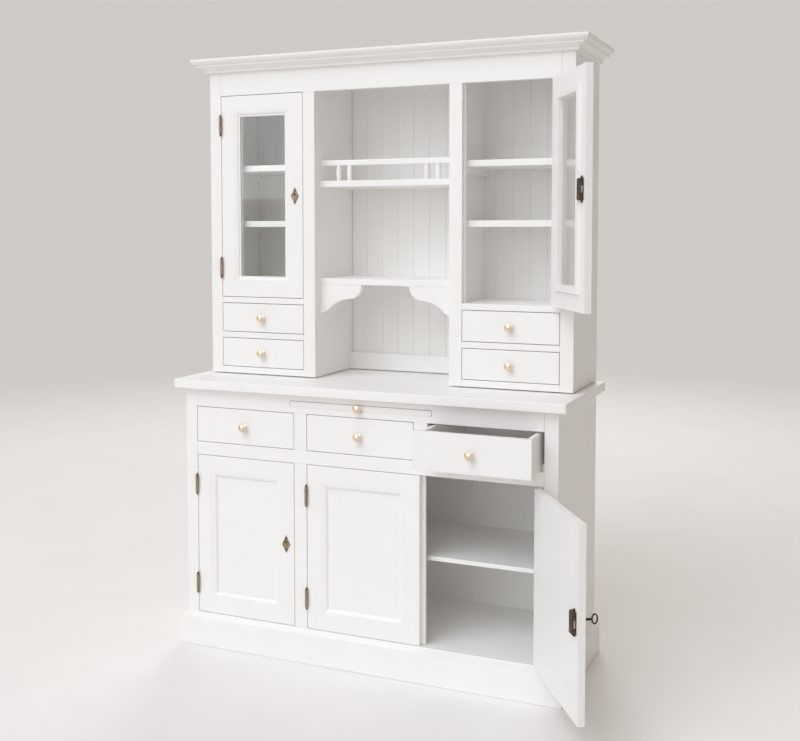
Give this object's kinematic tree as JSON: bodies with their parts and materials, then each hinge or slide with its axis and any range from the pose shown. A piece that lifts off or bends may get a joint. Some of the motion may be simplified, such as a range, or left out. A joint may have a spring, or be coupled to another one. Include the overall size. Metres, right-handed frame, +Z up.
{
  "type": "welsh dresser",
  "caption": "Painted kitchen dresser: a base with drawers, panelled doors and a pull-out board, and a glazed hutch with an open niche, a gallery shelf and a moulded cornice.",
  "frame": {"origin": "on the floor, in the middle of the plinth's front board", "axes": "+X to the viewer's right, -Y to the front, +Z up"},
  "size_m": [1.5383, 0.8246, 2],
  "materials": {
    "paint": "satin white paint on wood",
    "polished_brass": "polished",
    "antique_brass": "dull, aged",
    "dark_metal": "dark, smooth",
    "glass": "clear"
  },
  "bodies": {
    "carcass": {"base_sides": "paint", "base_back": "paint", "base_floor": "paint", "base_uprights": "paint", "base_top_rail": "paint", "base_rails": "paint", "base_partition": "paint", "base_shelves": "paint", "drawer_runners": "paint", "plinth": "paint", "countertop": "paint", "hutch_pads": "paint", "hutch_sides": "paint", "hutch_partitions": "paint", "hutch_stiles": "paint", "hutch_frieze": "paint", "hutch_rails": "paint", "hutch_top": "paint", "hutch_back": "paint", "hutch_back_rail": "paint", "hutch_runners": "paint", "hutch_shelves": "paint", "cornice": "paint", "niche_shelves": "paint", "gallery": "paint", "corbels": "paint", "hinge_frame_leaves": "antique_brass"},
    "base_drawer_left": {"base_drawer_left": "paint", "base_drawer_left_knob": "polished_brass"},
    "base_drawer_middle": {"base_drawer_middle": "paint", "base_drawer_middle_knob": "polished_brass"},
    "base_drawer_right": {"base_drawer_right": "paint", "base_drawer_right_knob": "polished_brass"},
    "hutch_drawer_left_lower": {"hutch_drawer_left_lower": "paint", "hutch_drawer_left_lower_knob": "polished_brass"},
    "hutch_drawer_left_upper": {"hutch_drawer_left_upper": "paint", "hutch_drawer_left_upper_knob": "polished_brass"},
    "hutch_drawer_right_lower": {"hutch_drawer_right_lower": "paint", "hutch_drawer_right_lower_knob": "polished_brass"},
    "hutch_drawer_right_upper": {"hutch_drawer_right_upper": "paint", "hutch_drawer_right_upper_knob": "polished_brass"},
    "slide_board": {"slide_board": "paint", "slide_board_knob": "polished_brass"},
    "base_door_left": {"base_door_left_frame": "paint", "base_door_left_panel": "paint", "base_door_left_fittings": "antique_brass"},
    "base_door_middle": {"base_door_middle_frame": "paint", "base_door_middle_panel": "paint", "base_door_middle_fittings": "antique_brass"},
    "base_door_right": {"base_door_right_frame": "paint", "base_door_right_panel": "paint", "base_door_right_fittings": "antique_brass"},
    "hutch_door_left": {"hutch_door_left_frame": "paint", "hutch_door_left_glass": "glass", "hutch_door_left_fittings": "antique_brass"},
    "hutch_door_right": {"hutch_door_right_frame": "paint", "hutch_door_right_glass": "glass", "hutch_door_right_fittings": "antique_brass"},
    "base_door_key": {"base_door_right_key": "dark_metal"}
  },
  "joints": [
    {"name": "base_drawer_left_slide", "type": "slide", "parent": "carcass", "child": "base_drawer_left", "axis": [0, -1, 0], "range_m": [0, 0.3]},
    {"name": "base_drawer_middle_slide", "type": "slide", "parent": "carcass", "child": "base_drawer_middle", "axis": [0, -1, 0], "range_m": [0, 0.3]},
    {"name": "base_drawer_right_slide", "type": "slide", "parent": "carcass", "child": "base_drawer_right", "axis": [0, -1, 0], "range_m": [-0.125, 0.175]},
    {"name": "hutch_drawer_left_lower_slide", "type": "slide", "parent": "carcass", "child": "hutch_drawer_left_lower", "axis": [0, -1, 0], "range_m": [0, 0.16]},
    {"name": "hutch_drawer_left_upper_slide", "type": "slide", "parent": "carcass", "child": "hutch_drawer_left_upper", "axis": [0, -1, 0], "range_m": [0, 0.16]},
    {"name": "hutch_drawer_right_lower_slide", "type": "slide", "parent": "carcass", "child": "hutch_drawer_right_lower", "axis": [0, -1, 0], "range_m": [0, 0.16]},
    {"name": "hutch_drawer_right_upper_slide", "type": "slide", "parent": "carcass", "child": "hutch_drawer_right_upper", "axis": [0, -1, 0], "range_m": [0, 0.16]},
    {"name": "slide_board_slide", "type": "slide", "parent": "carcass", "child": "slide_board", "axis": [0, -1, 0], "range_m": [0, 0.3]},
    {"name": "base_door_left_hinge", "type": "hinge", "parent": "carcass", "child": "base_door_left", "pos_m": [-0.606, 0.004, 0.3815], "axis": [0, 0, -1], "range_deg": [0, 150]},
    {"name": "base_door_middle_hinge", "type": "hinge", "parent": "carcass", "child": "base_door_middle", "pos_m": [-0.1875, 0.004, 0.3815], "axis": [0, 0, -1], "range_deg": [0, 115]},
    {"name": "base_door_right_hinge", "type": "hinge", "parent": "carcass", "child": "base_door_right", "pos_m": [0.606, 0.004, 0.3815], "axis": [0, 0, 1], "range_deg": [-123.3, 26.7]},
    {"name": "hutch_door_left_hinge", "type": "hinge", "parent": "carcass", "child": "hutch_door_left", "pos_m": [-0.606, 0.169, 1.528], "axis": [0, 0, -1], "range_deg": [0, 150]},
    {"name": "hutch_door_right_hinge", "type": "hinge", "parent": "carcass", "child": "hutch_door_right", "pos_m": [0.606, 0.169, 1.528], "axis": [0, 0, 1], "range_deg": [-122.2, 27.8]},
    {"name": "base_door_key_turn", "type": "hinge", "parent": "base_door_right", "child": "base_door_key", "pos_m": [0.80206, -0.30541, 0.388], "axis": [0.8358, 0.549, 0], "range_deg": [0, 180]}
  ]
}
